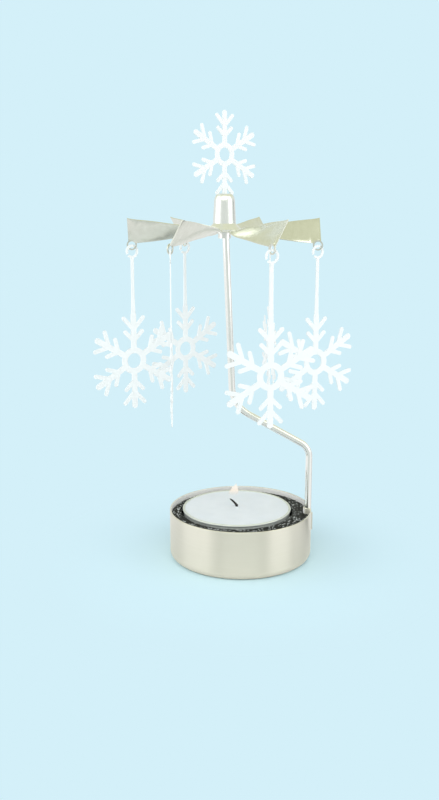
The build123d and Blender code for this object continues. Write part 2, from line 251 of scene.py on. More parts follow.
@dataclass(frozen=True)
class TurnedFaceFinish(MetalFinish):
    """A metal whose faces that look away from an upright axis, or towards it, have another finish.

    Attributes:
        axis_xy: Where the axis stands, in metres.
        facing: Which faces have the other finish.
        facing_hex: Their colour.
        facing_roughness: Their roughness.
        facing_metallic: How much they mirror rather than scatter light.
        facing_cosines: Between which cosines of a face's turn the other finish sets in.
    """

    axis_xy: tuple[float, float] = (0.0, 0.0)
    facing: Facing = Facing.OUTWARDS
    facing_hex: str = "FFFFFF"
    facing_roughness: float = 0.5
    facing_metallic: float = 1.0
    facing_cosines: tuple[float, float] = (0.6, 0.85)

    def material(self) -> Material:
        """Build the metal, then lay the other finish over the faces that it belongs to.

        Returns:
            The material.
        """
        material = super().material()
        tree = material.node_tree
        surface = tree.nodes["Principled BSDF"]
        tone = surface.inputs["Base Color"].links[0].from_socket
        gloss = surface.inputs["Roughness"].links[0].from_socket
        way = self.facing.value
        least, most = self.facing_cosines
        place = add_node(tree, "TexCoord")
        from_axis = add_node(
            tree, "VectorMath", {0: place.outputs["Object"], 1: (*self.axis_xy, 0.0)}, operation="SUBTRACT"
        )
        level = add_node(tree, "VectorMath", {0: from_axis, 1: (way, way, 0.0)}, operation="MULTIPLY")
        outward = add_node(tree, "VectorMath", {0: level}, operation="NORMALIZE")
        turn = add_node(
            tree, "VectorMath", {0: place.outputs["Normal"], 1: outward}, operation="DOT_PRODUCT"
        )
        share = add_node(
            tree, "MapRange", {"Value": turn.outputs["Value"], "From Min": least, "From Max": most}
        )
        other_tone = linear(self.facing_hex)
        tones = add_node(tree, "MixRGB", {"Fac": share, "Color1": tone, "Color2": other_tone})
        glosses = add_node(
            tree, "MapRange", {"Value": share, "To Min": gloss, "To Max": self.facing_roughness}
        )
        fill(surface, {"Base Color": tones, "Roughness": glosses})
        if self.facing_metallic < 1.0:
            mirror = {"Value": share, "To Min": 1.0, "To Max": self.facing_metallic}
            fill(surface, {"Metallic": add_node(tree, "MapRange", mirror)})
        return material


@dataclass(frozen=True)
class EnamelFinish(MottledFinish):
    """Stoved white enamel on stamped sheet: an even glossy skin with a faint orange peel."""

    name: str = "white_enamel_stoved"
    light_hex: str = "F7FBFB"
    deep_hex: str = "EDF4F5"
    roughness: float = 0.38
    spread: float = 0.08
    ior: float = 1.5
    blotch_mm: float = 6.0
    peel_mm: float = 1.2
    peel_depth_mm: float = 0.006
    peel_strength: float = 0.6

    def material(self) -> Material:
        """Build the material.

        Returns:
            The material.
        """
        material, tree, surface, place = new_surface(self.name, {"IOR": self.ior})
        self.mottle(surface, place, per_metre(self.blotch_mm), BLOTCH)
        peel = add_node(
            tree, "TexNoise", {"Vector": place, "Scale": per_metre(self.peel_mm), "Detail": SWELL}
        )
        depth = self.peel_depth_mm * MM
        relief = add_node(tree, "Bump", {"Height": peel, "Strength": self.peel_strength, "Distance": depth})
        fill(surface, {"Normal": relief})
        return material


@dataclass(frozen=True)
class GritFinish:
    """Black grit bonded to the liner: dark matt grains, with a few painted pale as painted glints."""

    name: str = "black_grit_bonded"
    dark_hex: str = "0B0D0C"
    light_hex: str = "1E2220"
    # Colour of the grains painted pale as painted glints
    painted_glint_hex: str = "D2D8D5"
    grain_mm: float = 0.42
    grain_strength: float = 0.8
    painted_glint_share: float = 0.1
    roughness: float = 0.62
    spread: float = 0.2
    specular: float = 0.2

    def material(self) -> Material:
        """Build the material.

        Returns:
            The material.
        """
        material, tree, surface, place = new_surface(self.name, {"Specular IOR Level": self.specular})
        grains = add_node(tree, "TexVoronoi", {"Vector": place, "Scale": per_metre(self.grain_mm)})
        chance = add_node(tree, "SeparateColor", {"Color": grains.outputs["Color"]})
        dark, light, bright = (linear(tone) for tone in (self.dark_hex, self.light_hex, self.painted_glint_hex))
        tone = add_node(tree, "MixRGB", {"Fac": chance.outputs["Red"], "Color1": dark, "Color2": light})
        # Grains under this share are painted pale: painted glints standing in for sparkle
        painted_glint = add_node(
            tree, "Math", {0: chance.outputs["Green"], 1: self.painted_glint_share}, operation="LESS_THAN"
        )
        speckled = add_node(tree, "MixRGB", {"Fac": painted_glint, "Color1": tone, "Color2": bright})
        least, most = self.roughness - self.spread, self.roughness + self.spread
        gloss = add_node(
            tree, "MapRange", {"Value": chance.outputs["Blue"], "To Min": least, "To Max": most}
        )
        depth = self.grain_mm * MM / 2
        relief = add_node(
            tree,
            "Bump",
            {"Height": grains.outputs["Distance"], "Strength": self.grain_strength, "Distance": depth},
            invert=True,
        )
        fill(surface, {"Base Color": speckled, "Roughness": gloss, "Normal": relief})
        return material


@dataclass(frozen=True)
class WaxFinish(MottledFinish):
    """Cast paraffin wax: cool white, softly translucent, with faint clouds from its cooling."""

    name: str = "paraffin_wax_cast"
    light_hex: str = "E9F0F2"
    deep_hex: str = "DAE2E5"
    roughness: float = 0.42
    spread: float = 0.12
    ior: float = 1.43
    cloud_mm: float = 7.0
    scatter_share: float = 0.25
    scatter_mm: tuple[float, float, float] = (1.6, 1.4, 1.2)

    def material(self) -> Material:
        """Build the material.

        Returns:
            The material.
        """
        constants = {
            "IOR": self.ior,
            "Subsurface Weight": self.scatter_share,
            "Subsurface Radius": [length * MM for length in self.scatter_mm],
            "Subsurface Scale": 1.0,
        }
        material, _, surface, place = new_surface(self.name, constants)
        self.mottle(surface, place, per_metre(self.cloud_mm), MOTTLE)
        return material


@dataclass(frozen=True)
class WickFinish:
    """Braided cotton, waxed at its foot and charred to its tip.

    Attributes:
        foot_z: Height of the wax surface, where the cotton is still pale.
        char_z: Height from which the wick is charred.
        fibre_mm: Size of the fibres. Real ones are too fine to show, so these are coarser.
    """

    foot_z: float
    char_z: float
    name: str = "cotton_wick_charred"
    cotton_hex: str = "8C8478"
    char_hex: str = "1B1917"
    ash_hex: str = "3A3632"
    roughness: float = 0.9
    fibre_mm: float = 0.25
    fibre_strength: float = 0.7

    def material(self) -> Material:
        """Build the material.

        Returns:
            The material.
        """
        material, tree, surface, place = new_surface(self.name, {"Roughness": self.roughness})
        height = add_node(tree, "SeparateXYZ", {"Vector": place}).outputs["Z"]
        burn = add_node(
            tree, "MapRange", {"Value": height, "From Min": self.foot_z, "From Max": self.char_z}
        )
        fibres = add_node(
            tree, "TexNoise", {"Vector": place, "Scale": per_metre(self.fibre_mm), "Detail": BLOTCH}
        )
        cotton, char, ash = (linear(tone) for tone in (self.cotton_hex, self.char_hex, self.ash_hex))
        charred = add_node(tree, "MixRGB", {"Fac": fibres, "Color1": char, "Color2": ash})
        tone = add_node(tree, "MixRGB", {"Fac": burn, "Color1": cotton, "Color2": charred})
        depth = self.fibre_mm * MM
        relief = add_node(
            tree, "Bump", {"Height": fibres, "Strength": self.fibre_strength, "Distance": depth}
        )
        fill(surface, {"Base Color": tone, "Normal": relief})
        return material


@dataclass(frozen=True)
class FlameFinish:
    """A tealight's small flame: clear at its foot, then a pale warm glow that fades towards its tip.

    Attributes:
        foot_z: Height of the flame's foot.
        tip_z: Height of its tip.
        body_alpha: How much its body hides.
        clear_share: Share of its height that is clear.
        full_share: Share of its height at which its body is full.
        fade_share: Share of its height from which it fades.
    """

    foot_z: float
    tip_z: float
    name: str = "candle_flame_glow"
    foot_hex: str = "FFE6CF"
    heart_hex: str = "FFFDF4"
    body_alpha: float = 0.75
    clear_share: float = 0.3
    full_share: float = 0.6
    fade_share: float = 0.7

    def material(self) -> Material:
        """Build the material.

        Returns:
            The material.
        """
        constants = {
            "Base Color": linear("000000"),
            "Roughness": 1.0,
            "Specular IOR Level": 0.0,
            "Emission Strength": 1.0,
        }
        material, tree, surface, place = new_surface(self.name, constants)
        height = add_node(tree, "SeparateXYZ", {"Vector": place}).outputs["Z"]
        climb = add_node(
            tree, "MapRange", {"Value": height, "From Min": self.foot_z, "From Max": self.tip_z}
        )
        foot, heart = linear(self.foot_hex), linear(self.heart_hex)
        glow = add_node(tree, "MixRGB", {"Fac": climb, "Color1": foot, "Color2": heart})
        fade = add_node(
            tree,
            "MapRange",
            {"Value": climb, "From Min": self.fade_share, "To Min": self.body_alpha, "To Max": 0.0},
            interpolation_type="SMOOTHSTEP",
        )
        veil = add_node(
            tree,
            "MapRange",
            {"Value": climb, "From Min": self.clear_share, "From Max": self.full_share, "To Max": fade},
            interpolation_type="SMOOTHSTEP",
        )
        fill(surface, {"Emission Color": glow, "Alpha": veil})
        return material


# Satin nickel on a drawn cup: broad soft reflections in warm silver, with faint lines running round the
# wall, and an inside painted near white and made to scatter more than mirror, as a painted highlight
CUP_NICKEL = TurnedFaceFinish(
    name="nickel_plated_steel_satin",
    light_hex="E4E2D7",
    deep_hex="E0DED2",
    roughness=0.36,
    spread=0.01,
    line_mm=(12.0, 12.0, 0.7),
    wave_mm=14.0,
    wave_depth_mm=0.01,
    sheen_across=0.95,
    # The inside's near-white colour is a painted highlight on the inner wall
    facing=Facing.INWARDS,
    facing_hex="FFFFFC",
    facing_roughness=0.45,
    facing_metallic=0.1,
)
# Bright nickel on drawn wire: narrow white glints between darker edges, with draw marks along the wire
WIRE_NICKEL = MetalFinish(
    name="nickel_plated_wire_bright",
    light_hex="F6F7F4",
    deep_hex="ECEDE8",
    roughness=0.12,
    spread=0.03,
    line_mm=(0.4, 0.4, 6.0),
    wave_mm=8.0,
    wave_depth_mm=0.01,
)
# Nickel on rolled sheet: a straw-tinted silver whose slow waves break the reflections into streaks, with
# sheared edges that stay dull
ROTOR_NICKEL = TurnedFaceFinish(
    name="nickel_plated_sheet_rolled",
    light_hex="E4E6DE",
    deep_hex="D2D4C8",
    roughness=0.2,
    spread=0.05,
    line_mm=(1.2, 1.2, 5.0),
    wave_mm=15.0,
    wave_depth_mm=0.28,
    facing_hex="D6D8CE",
    facing_roughness=0.5,
)
# Bright nickel on pressed cap and eyelet: small parts that mirror the room slightly blurred
HUB_NICKEL = MetalFinish(
    name="nickel_plated_pressing_bright",
    light_hex="EEF0ED",
    deep_hex="E4E6E1",
    roughness=0.3,
    spread=0.04,
    line_mm=(3.0, 3.0, 0.4),
    wave_mm=5.0,
    wave_depth_mm=0.04,
)
# Bare rolled aluminium foil: cool grey, slightly crinkled, with a bright bead and a duller fluted side
FOIL_ALUMINIUM = TurnedFaceFinish(
    name="aluminium_foil_pressed",
    light_hex="E9EDE9",
    deep_hex="D0D7D3",
    roughness=0.5,
    spread=0.1,
    line_mm=(1.5, 1.5, 0.5),
    wave_mm=1.6,
    wave_depth_mm=0.14,
    facing_hex="DDE3DE",
    facing_roughness=0.45,
    facing_metallic=0.4,
)
# Tinplate of the wick tab: dull grey with a fine mottle
TAB_TINPLATE = MetalFinish(
    name="tinplate_pressed",
    light_hex="CFD0CC",
    deep_hex="B4B6B1",
    roughness=0.35,
    spread=0.08,
    line_mm=(0.8, 0.8, 0.8),
    wave_mm=3.0,
    wave_depth_mm=0.02,
)
# Turned brass of the pivot seat: warm yellow with fine turning rings
PIVOT_BRASS = MetalFinish(
    name="brass_turned",
    light_hex="D9BE77",
    deep_hex="BFA05A",
    roughness=0.25,
    spread=0.06,
    line_mm=(0.2, 0.2, 2.0),
    wave_mm=3.0,
    wave_depth_mm=0.01,
)


def dress_node(node: str, material: Material) -> None:
    """Give a solid of the frame its material.

    Args:
        node: The node's name.
        material: What it is made of.
    """
    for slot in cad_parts[node].material_slots:
        slot.material = material
    log.info("dressed %s in %s", node, material.name)


def round_edges(node: str, width_mm: float) -> None:
    """Break the sharp edges of a solid of the frame with live modifiers.

    Args:
        node: The node's name.
        width_mm: Width of the broken edge.
    """
    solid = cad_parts[node]
    weld = solid.modifiers.new("weld", "WELD")
    weld.merge_threshold = EDGE_WELD_MM * MM
    bevel = solid.modifiers.new("broken_edges", "BEVEL")
    bevel.width = width_mm * MM
    bevel.segments = EDGE_STEPS
    bevel.limit_method = "ANGLE"
    bevel.angle_limit = math.radians(EDGE_DEGREES)


def deselect_all() -> None:
    """Leave nothing selected, so that an operator reaches only the piece being made."""
    bpy.ops.object.select_all(action="DESELECT")


def make_active(piece: Object) -> None:
    """Select one piece alone and make it the active one.

    Args:
        piece: The piece.
    """
    deselect_all()
    piece.select_set(True)
    bpy.context.view_layer.objects.active = piece


def select_points(piece: Object, wanted: Callable[[BMVert], bool]) -> None:
    """Select points of a piece in edit mode.

    Args:
        piece: The piece in edit mode.
        wanted: Says of a point whether it is selected.
    """
    bpy.ops.mesh.select_all(action="DESELECT")
    mesh = bmesh.from_edit_mesh(piece.data)
    for point in mesh.verts:
        if wanted(point):
            point.select_set(True)
    mesh.select_flush(True)
    bmesh.update_edit_mesh(piece.data)


def start_disc(name: str, centre: Vector, radius: float, sides: int) -> Object:
    """Add a filled disc, and leave it in edit mode with all of it selected.

    Args:
        name: The piece's name.
        centre: Where the disc lies.
        radius: Its radius.
        sides: Its number of sides.

    Returns:
        The new piece.
    """
    deselect_all()
    bpy.ops.mesh.primitive_circle_add(vertices=sides, radius=radius, fill_type="NGON", location=centre)
    piece = bpy.context.active_object
    piece.name = name
    bpy.ops.object.transform_apply(location=True, rotation=True, scale=True)
    bpy.ops.object.mode_set(mode="EDIT")
    bpy.ops.mesh.select_all(action="SELECT")
    return piece


def end_edit(piece: Object, smoothing: Smoothing) -> None:
    """Turn the faces outwards, leave edit mode and smooth what is nearly flat.

    Args:
        piece: The piece in edit mode.
        smoothing: How flat an edge has to be to be shaded smooth.
    """
    bpy.ops.mesh.select_all(action="SELECT")
    bpy.ops.mesh.normals_make_consistent(inside=False)
    bpy.ops.object.mode_set(mode="OBJECT")
    make_active(piece)
    bpy.ops.object.shade_smooth_by_angle(angle=math.radians(smoothing.value))


def extrude_to(start: Vector, end: Vector, scale: float, turn: float = 0.0) -> None:
    """Extrude the selected face from one centre to the next, and scale and turn it there.

    Args:
        start: The face's centre now.
        end: The face's centre after the move.
        scale: Factor on its size.
        turn: Turn about Z in radians.
    """
    bpy.ops.mesh.extrude_region_move(TRANSFORM_OT_translate={"value": end - start})
    bpy.ops.transform.resize(value=(scale, scale, 1.0), center_override=end)
    if turn:
        bpy.ops.transform.rotate(value=turn, orient_axis="Z", center_override=end)


def lathe(name: str, axis: Vector, rings: Sequence[Ring], sides: int) -> Object:
    """Turn a closed piece about an upright axis by extruding a disc through a stack of rings.

    Args:
        name: The piece's name.
        axis: A point of the axis.
        rings: Radius and height of each ring, from the first cap to the last.
        sides: Number of sides.

    Returns:
        The finished piece, in object mode.
    """
    centres = [Vector((axis.x, axis.y, height)) for _, height in rings]
    piece = start_disc(name, centres[0], rings[0][0], sides)
    for step in range(1, len(rings)):
        extrude_to(centres[step - 1], centres[step], rings[step][0] / rings[step - 1][0])
    end_edit(piece, Smoothing.TURNED)
    return piece


def crinkle(piece: Object, size_mm: float, depth_mm: float) -> None:
    """Push a piece's surface inwards by cloud noise, and apply it.

    Args:
        piece: The piece.
        size_mm: Size of the crinkles.
        depth_mm: Depth of the crinkles.
    """
    noise = bpy.data.textures.new(piece.name + "_crinkle", "CLOUDS")
    noise.noise_scale = size_mm * MM
    noise.noise_depth = CRINKLE_OCTAVES
    make_active(piece)
    displace = piece.modifiers.new("crinkle", "DISPLACE")
    displace.texture = noise
    displace.texture_coords = "GLOBAL"
    displace.strength = depth_mm * MM
    displace.mid_level = CRINKLE_LEVEL
    bpy.ops.object.modifier_apply(modifier=displace.name)


def place_piece(piece: Object, body: Body, material: Material, node: str) -> None:
    """Dress a new piece, hang it on its body and let it stand for a solid.

    Args:
        piece: The new piece.
        body: The body that it moves with.
        material: What it is made of.
        node: The solid that it stands for.
    """
    piece.data.materials.clear()
    piece.data.materials.append(material)
    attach(piece, body.value)
    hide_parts(node)
    log.info("built %s for %s", piece.name, node)


@dataclass
class CupAssembly:
    """The drawn cup and the gritty black ring in it.

    Attributes:
        weld: Points of the ring's solid that are closer than this become one.
        grit_voxel: Mesh size of the gritty ring.
        grit_size_mm: Size of the grains.
        grit_depth_mm: How deep the hollows between grains go.
    """

    weld: float = 0.001 * MM
    grit_voxel: float = 0.32 * MM
    grit_size_mm: float = 0.45
    grit_depth_mm: float = 0.3

    def build_liner(self) -> Object:
        """Remesh the ring's solid finely and give it grains.

        Returns:
            The gritty ring.
        """
        liner = bpy.data.objects.new("liner_grit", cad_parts["cup_liner"].data.copy())
        bpy.context.scene.collection.objects.link(liner)
        make_active(liner)
        bpy.ops.object.mode_set(mode="EDIT")
        bpy.ops.mesh.select_all(action="SELECT")
        bpy.ops.mesh.remove_doubles(threshold=self.weld)
        bpy.ops.object.mode_set(mode="OBJECT")
        remesh = liner.modifiers.new("fine_mesh", "REMESH")
        remesh.mode = "VOXEL"
        remesh.voxel_size = self.grit_voxel
        bpy.ops.object.modifier_apply(modifier=remesh.name)
        crinkle(liner, self.grit_size_mm, self.grit_depth_mm)
        bpy.ops.object.shade_smooth_by_angle(angle=math.radians(Smoothing.GRIT.value))
        return liner

    def dress(self) -> None:
        """Give the cup and the ring their finishes."""
        dress_node("cup", CUP_NICKEL.material())
        place_piece(self.build_liner(), Body.BASE, GritFinish().material(), "cup_liner")


@dataclass
class TealightAssembly:
    """The tealight: foil cup with a rolled bead, wax with a raised edge, and a burnt wick.

    Attributes:
        foil: Thickness of the foil.
        bead_reach: How far the bead stands out from the wall.
        bead_radius: Radius of the rolled bead's round.
        bead_steps: Number of rings in that round.
        corner: Radius of the foil cup's lower corner.
        crinkle_mm: Size of the foil's crinkles.
        crinkle_depth_mm: Their depth.
        flute_depth: Depth of the flutes pressed into the foil cup's wall.
        edge_rise: How far the wax climbs the foil.
        collar_rise: How far it climbs the wick.
        pool_dip: How far the wax sinks towards the wick.
        wick_radius: Radius of the wick.
        knee_rise: Height of the knee over the wax.
        strands: Number of the wick's strands.
        strand_dip: Size of the grooves between them.
        flame_height: Height of the flame over the wick's tip.
        flame_radius: Radius of the flame at its widest.
        flame_lean: How far the flame's tip leans along X.
        flame_steps: Number of rings in the flame.
        flame_sides: Number of its sides.
        sides: Number of sides of the turned pieces.
    """

    foil: float = 0.3 * MM
    bead_reach: float = 0.35 * MM
    bead_radius: float = 0.5 * MM
    bead_steps: int = 10
    corner: float = 1.2 * MM
    crinkle_mm: float = 2.6
    crinkle_depth_mm: float = 0.1
    flute_depth: float = 0.26 * MM
    edge_rise: float = 0.12 * MM
    collar_rise: float = 0.45 * MM
    pool_dip: float = 0.2 * MM
    wick_radius: float = 0.55 * MM
    knee_rise: float = 0.9 * MM
    strands: int = 4
    strand_dip: float = 0.68
    flame_height: float = 6.5 * MM
    flame_radius: float = 1.7 * MM
    flame_lean: float = 2.2 * MM
    flame_steps: int = 14
    flame_sides: int = 32
    sides: int = 128

    def build_foil_cup(self) -> Object:
        """Turn the foil cup with its bead and crinkle it slightly.

        Returns:
            The foil cup.
        """
        low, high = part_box("tealight_cup")
        axis = (low + high) / 2
        bead = (high.x - low.x) / 2
        wall = bead - self.bead_reach
        inside = wall - self.foil
        top, bottom = high.z, low.z
        # The bead starts and sweeps in half turns, and ends so many of its radii under the top
        bead_start, bead_sweep, bead_drop = -0.3, 1.25, 2.1
        bead_end = top - self.bead_radius * bead_drop
        outer_cut, inner_cut = self.corner * 0.3, self.corner * 0.2
        heart = Vector((bead - self.bead_radius, top - self.bead_radius))
        turns = [
            math.pi * (step / self.bead_steps * bead_sweep + bead_start)
            for step in range(self.bead_steps + 1)
        ]
        rolled = [
            (heart.x + self.bead_radius * math.cos(turn), heart.y + self.bead_radius * math.sin(turn))
            for turn in turns
        ]
        rings = [
            (wall - self.corner, bottom),
            (wall - outer_cut, bottom + outer_cut),
            (wall, bottom + self.corner),
            (wall, bead_end),
            *rolled,
            (inside, bead_end),
            (inside, bottom + self.corner),
            (inside - outer_cut, bottom + self.foil + inner_cut),
            (inside - self.corner, bottom + self.foil),
        ]
        cup = lathe("tealight_foil_cup", axis, rings, self.sides)
        self.press_flutes(cup, axis, wall)
        crinkle(cup, self.crinkle_mm, self.crinkle_depth_mm)
        return cup

    def press_flutes(self, cup: Object, axis: Vector, wall: float) -> None:
        """Push every other line of the foil cup's outer wall inwards.

        Args:
            cup: The foil cup.
            axis: A point of its axis.
            wall: Radius of its outer wall.
        """
        slack = 0.01 * MM

        def in_flute(point: BMVert) -> bool:
            """Tell whether a point of the outer wall is on a line that is pushed in.

            Args:
                point: The point.

            Returns:
                Whether it is.
            """
            across = (point.co - axis).xy
            line = round(math.atan2(across.y, across.x) / math.tau * self.sides)
            return abs(across.length - wall) < slack and line % 2 == 0

        make_active(cup)
        bpy.ops.object.mode_set(mode="EDIT")
        select_points(cup, in_flute)
        inwards = 1 - self.flute_depth / wall
        bpy.ops.transform.resize(value=(inwards, inwards, 1.0), center_override=axis)
        end_edit(cup, Smoothing.TURNED)

    def build_wax(self) -> Object:
        """Turn the wax with its raised edge, its shallow pool and the rise around the wick.

        Returns:
            The wax.
        """
        low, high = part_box("tealight_wax")
        axis = (low + high) / 2
        edge = (high.x - low.x) / 2
        top = high.z
        # The first three rings are the side, and the others follow the top inwards. Their factors are
        # shares of the edge's rise, then of the pool's width and dip, then of the wick and its collar
        rings = [
            (edge - self.corner, low.z),
            (edge, low.z + self.corner),
            (edge, top + self.edge_rise),
            (edge - self.edge_rise, top + self.edge_rise * 0.75),
            (edge - self.edge_rise * 3.0, top + self.edge_rise * 0.3),
            (edge - self.edge_rise * 8.0, top + self.edge_rise * 0.05),
            (edge - self.edge_rise * 18.0, top - self.pool_dip * 0.3),
            (edge * 0.6, top - self.pool_dip * 0.8),
            (edge * 0.25, top - self.pool_dip),
            (self.wick_radius * 3.4, top - self.pool_dip * 0.6),
            (self.wick_radius * 2.0, top + self.collar_rise * 0.3),
            (self.wick_radius * 1.3, top + self.collar_rise),
        ]
        return lathe("tealight_wax_pool", axis, rings, self.sides)

    def build_wick(self) -> Object:
        """Extrude twisted strands up through the wax and over to the side.

        Returns:
            The wick.
        """
        low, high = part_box("wick")
        foot = Vector((high.x - self.wick_radius, (low.y + high.y) / 2, low.z))
        knee = Vector((foot.x, foot.y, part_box("tealight_wax")[1].z + self.knee_rise))
        tip = Vector((low.x + self.wick_radius, foot.y, high.z - self.wick_radius / 2))
        upright_steps, lean_steps, turn = 14, 8, 0.35
        lean_taper, tip_taper, arch = 0.97, 0.55, 0.3
        points_per_strand = 3
        wick = start_disc("wick_strands", foot, self.wick_radius, points_per_strand * self.strands)
        select_points(wick, lambda point: point.index % points_per_strand == 0)
        bpy.ops.transform.resize(value=(self.strand_dip, self.strand_dip, 1.0), center_override=foot)
        bpy.ops.mesh.select_all(action="SELECT")
        here = foot
        for step in range(1, upright_steps + 1):
            there = foot.lerp(knee, step / upright_steps)
            extrude_to(here, there, 1.0, turn)
            here = there
        for step in range(1, lean_steps + 1):
            share = step / lean_steps
            there = knee.lerp(tip, share)
            there.z += math.sin(math.pi * share) * self.wick_radius * arch
            extrude_to(here, there, lean_taper if step < lean_steps else tip_taper, turn)
            here = there
        end_edit(wick, Smoothing.WICK)
        return wick

    def build_flame(self) -> Object:
        """Extrude a teardrop up from the wick's tip, leaning over to the right.

        Returns:
            The flame.
        """
        low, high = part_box("wick")
        foot = Vector((low.x + self.wick_radius, (low.y + high.y) / 2, high.z - self.wick_radius))
        # The foot widens by a factor at each step, and over it the swell sets the radius
        foot_radius, foot_share, foot_widening, thinnest = 0.3, 0.2, 1.5, 0.04
        lean_power, place_power, swell_power = 0.7, 1.6, 0.8
        radius = self.flame_radius * foot_radius
        flame = start_disc("candle_flame", foot, radius, self.flame_sides)
        here = foot
        for step in range(1, self.flame_steps + 1):
            share = step / self.flame_steps
            there = foot + Vector((self.flame_lean * share ** lean_power, 0.0, self.flame_height * share))
            swell = math.sin(math.pi * (1 - share) ** place_power) ** swell_power
            full = self.flame_radius * max(swell, thinnest)
            next_radius = full if share > foot_share else radius * foot_widening
            extrude_to(here, there, next_radius / radius)
            here, radius = there, next_radius
        end_edit(flame, Smoothing.FLAME)
        return flame

    def dress_flame(self) -> None:
        """Light the wick."""
        flame = self.build_flame()
        foot_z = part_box("wick")[1].z - self.wick_radius
        flame.data.materials.append(FlameFinish(foot_z, foot_z + self.flame_height).material())
        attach(flame, Body.TEALIGHT.value)
        log.info("built %s", flame.name)

    def dress(self) -> None:
        """Give the tealight's pieces their finishes."""
        wax_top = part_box("tealight_wax")[1].z
        low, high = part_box("tealight_cup")
        axis = (low + high) / 2
        foil = replace(FOIL_ALUMINIUM, axis_xy=(axis.x, axis.y)).material()
        cotton = WickFinish(foot_z=wax_top, char_z=wax_top + self.knee_rise / 2).material()
        place_piece(self.build_foil_cup(), Body.TEALIGHT, foil, "tealight_cup")
        place_piece(self.build_wax(), Body.TEALIGHT, WaxFinish().material(), "tealight_wax")
        place_piece(self.build_wick(), Body.TEALIGHT, cotton, "wick")
        dress_node("wick_tab", TAB_TINPLATE.material())
        self.dress_flame()


@dataclass
class StandAssembly:
    """The bent wire that carries the rotor on its point."""

    def dress(self) -> None:
        """Give the wire its finish."""
        dress_node("stand_wire", WIRE_NICKEL.material())


@dataclass
class RotorAssembly:
    """The rotor sheet with its hub: cap, eyelet and pivot seat.

    Attributes:
        sheet_edge_mm: Width of the broken edge on the sheet.
    """

    sheet_edge_mm: float = 0.08

    def dress(self) -> None:
        """Give the rotor and its hub their finishes."""
        low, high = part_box("hub_cap")
        axis = (low + high) / 2
        dress_node("rotor", replace(ROTOR_NICKEL, axis_xy=(axis.x, axis.y)).material())
        round_edges("rotor", self.sheet_edge_mm)
        hub = HUB_NICKEL.material()
        dress_node("hub_cap", hub)
        dress_node("hub_eyelet", hub)
        dress_node("pivot_seat", PIVOT_BRASS.material())


@dataclass
class Snowflakes:
    """The six hanging snowflakes and the small one on top.

    Attributes:
        edge_mm: Width of the broken edge on the stamped sheet.
        prefix: How the hanging ones' names begin.
    """

    edge_mm: float = 0.1
    prefix: str = "pendant_"

    def dress(self) -> None:
        """Give every snowflake its enamel."""
        enamel = EnamelFinish().material()
        hanging = sorted(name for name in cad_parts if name.startswith(self.prefix))
        for node in [*hanging, "top_snowflake"]:
            dress_node(node, enamel)
            round_edges(node, self.edge_mm)


@dataclass(frozen=True)
class SoftBox:
    """A rectangular white studio lamp that shows in the metal but not to the camera.

    Attributes:
        name: The lamp's name.
        place: Where it stands.
        width: Its width.
        height: Its height.
        watts_per_m2: Power of each square metre of its face.
    """

    name: str
    place: Vector
    width: float
    height: float
    watts_per_m2: float

    def light(self, aim: Vector) -> None:
        """Add the lamp to the scene.

        Args:
            aim: What it points at.
        """
        data = bpy.data.lights.new(self.name, "AREA")
        data.shape = "RECTANGLE"
        data.size = self.width
        data.size_y = self.height
        data.energy = self.watts_per_m2 * self.width * self.height
        lamp = bpy.data.objects.new(self.name, data)
        lamp.location = self.place
        lamp.rotation_euler = (aim - self.place).to_track_quat("-Z", "Y").to_euler()
        lamp.visible_camera = False
        bpy.context.scene.collection.objects.link(lamp)


